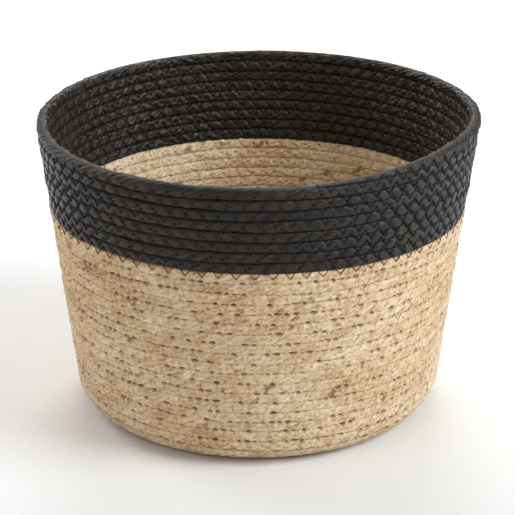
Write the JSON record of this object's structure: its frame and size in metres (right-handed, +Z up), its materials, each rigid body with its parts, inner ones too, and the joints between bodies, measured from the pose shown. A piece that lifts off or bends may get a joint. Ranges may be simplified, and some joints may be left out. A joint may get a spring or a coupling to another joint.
{
  "type": "laundry basket",
  "caption": "Round open laundry basket of coiled and sewn natural fibre cord, with a flared wall, a soft bottom corner and a black band at the rim.",
  "frame": {"origin": "middle of the underside, on the surface that the basket stands on", "axes": "+Z up along the basket's axis, towards the open rim; -Y towards the side where the rim's tail ends; +X to the right seen from that side"},
  "size_m": [0.3994, 0.3988, 0.2786],
  "materials": {
    "natural_cord": "matte twisted plant fibre",
    "black_cord": "matte black-dyed twisted plant fibre with a slight sheen",
    "natural_thread": "pale glossy sewing thread",
    "black_thread": "black sewing thread"
  },
  "bodies": {
    "root": {"base_coil_01": "natural_cord", "base_coil_02": "natural_cord", "base_coil_03": "natural_cord", "base_coil_04": "natural_cord", "base_coil_05": "natural_cord", "base_coil_06": "natural_cord", "base_coil_07": "natural_cord", "base_coil_08": "natural_cord", "base_coil_09": "natural_cord", "base_coil_10": "natural_cord", "base_coil_11": "natural_cord", "base_coil_12": "natural_cord", "base_coil_13": "natural_cord", "base_coil_14": "natural_cord", "wall_course_01": "natural_cord", "wall_course_02": "natural_cord", "wall_course_03": "natural_cord", "wall_course_04": "natural_cord", "wall_course_05": "natural_cord", "wall_course_06": "natural_cord", "wall_course_07": "natural_cord", "wall_course_08": "natural_cord", "wall_course_09": "natural_cord", "wall_course_10": "natural_cord", "wall_course_11": "natural_cord", "wall_course_12": "natural_cord", "wall_course_13": "natural_cord", "wall_course_14": "natural_cord", "wall_course_15": "natural_cord", "wall_course_16": "natural_cord", "wall_course_17": "natural_cord", "wall_course_18": "natural_cord", "wall_course_19": "natural_cord", "wall_course_20": "natural_cord", "band_course_01": "black_cord", "band_course_02": "black_cord", "band_course_03": "black_cord", "band_course_04": "black_cord", "band_course_05": "black_cord", "band_course_06": "black_cord", "band_course_07": "black_cord", "band_course_08": "black_cord", "rim_tail": "black_cord", "seam_thread_natural": "natural_thread", "seam_thread_black": "black_thread"}
  },
  "joints": []
}
